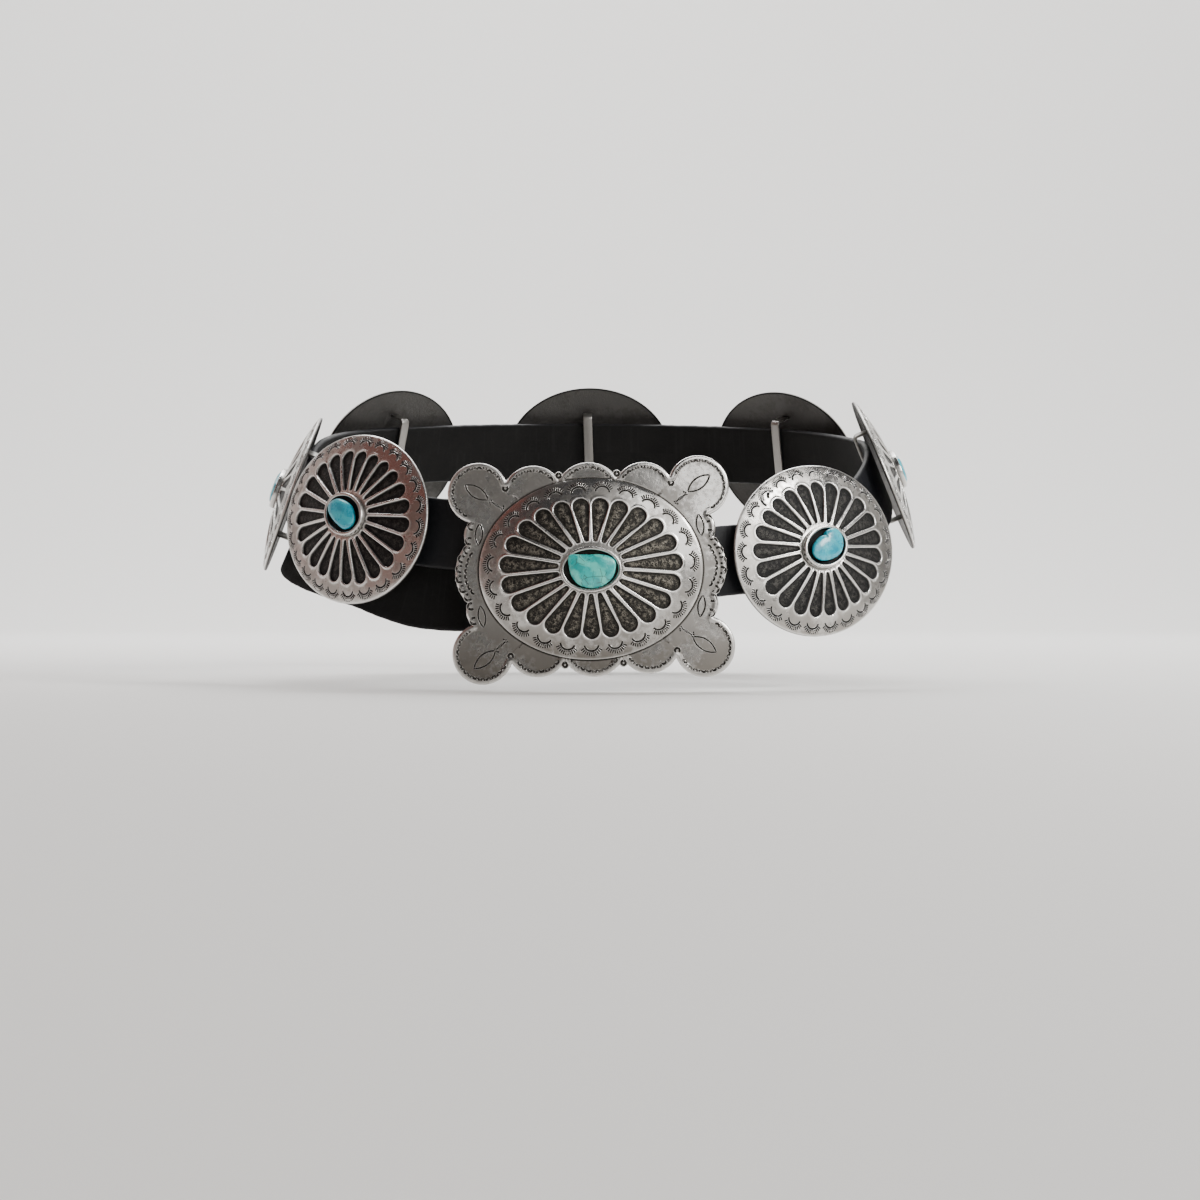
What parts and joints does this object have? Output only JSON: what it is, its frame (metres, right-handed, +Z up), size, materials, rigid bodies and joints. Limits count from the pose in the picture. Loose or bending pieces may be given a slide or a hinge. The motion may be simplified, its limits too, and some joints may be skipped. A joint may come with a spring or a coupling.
{
  "type": "concho belt",
  "caption": "Leather belt fastened round the hips, carrying domed fluted silver conchos and a large scalloped silver buckle, each set with a turquoise nugget in a raised bezel.",
  "frame": {"origin": "centre of the hip loop, at the height of the buckle's middle", "axes": "the front of the belt, with the buckle, looks along -Y; +X is to the right as seen from the front; +Z is up the body"},
  "size_m": [0.2952, 0.2469, 0.142],
  "materials": {
    "silver": "oxidised sterling silver, worn bright on its ridges and dark in its flutes and stamps",
    "turquoise": "polished turquoise nugget with pale bands and a few dark flecks",
    "leather": "black belt leather, smooth grain outside, rougher flesh side and cut edges"
  },
  "bodies": {
    "root": {"strap": "leather", "buckle": "silver", "buckle_stone": "turquoise", "concho_left_1": "silver", "stone_left_1": "turquoise", "concho_left_2": "silver", "stone_left_2": "turquoise", "concho_back_left": "silver", "stone_back_left": "turquoise", "concho_back": "silver", "stone_back": "turquoise", "concho_back_right": "silver", "stone_back_right": "turquoise", "concho_right_2": "silver", "stone_right_2": "turquoise", "concho_right_1": "silver", "stone_right_1": "turquoise"}
  },
  "joints": []
}
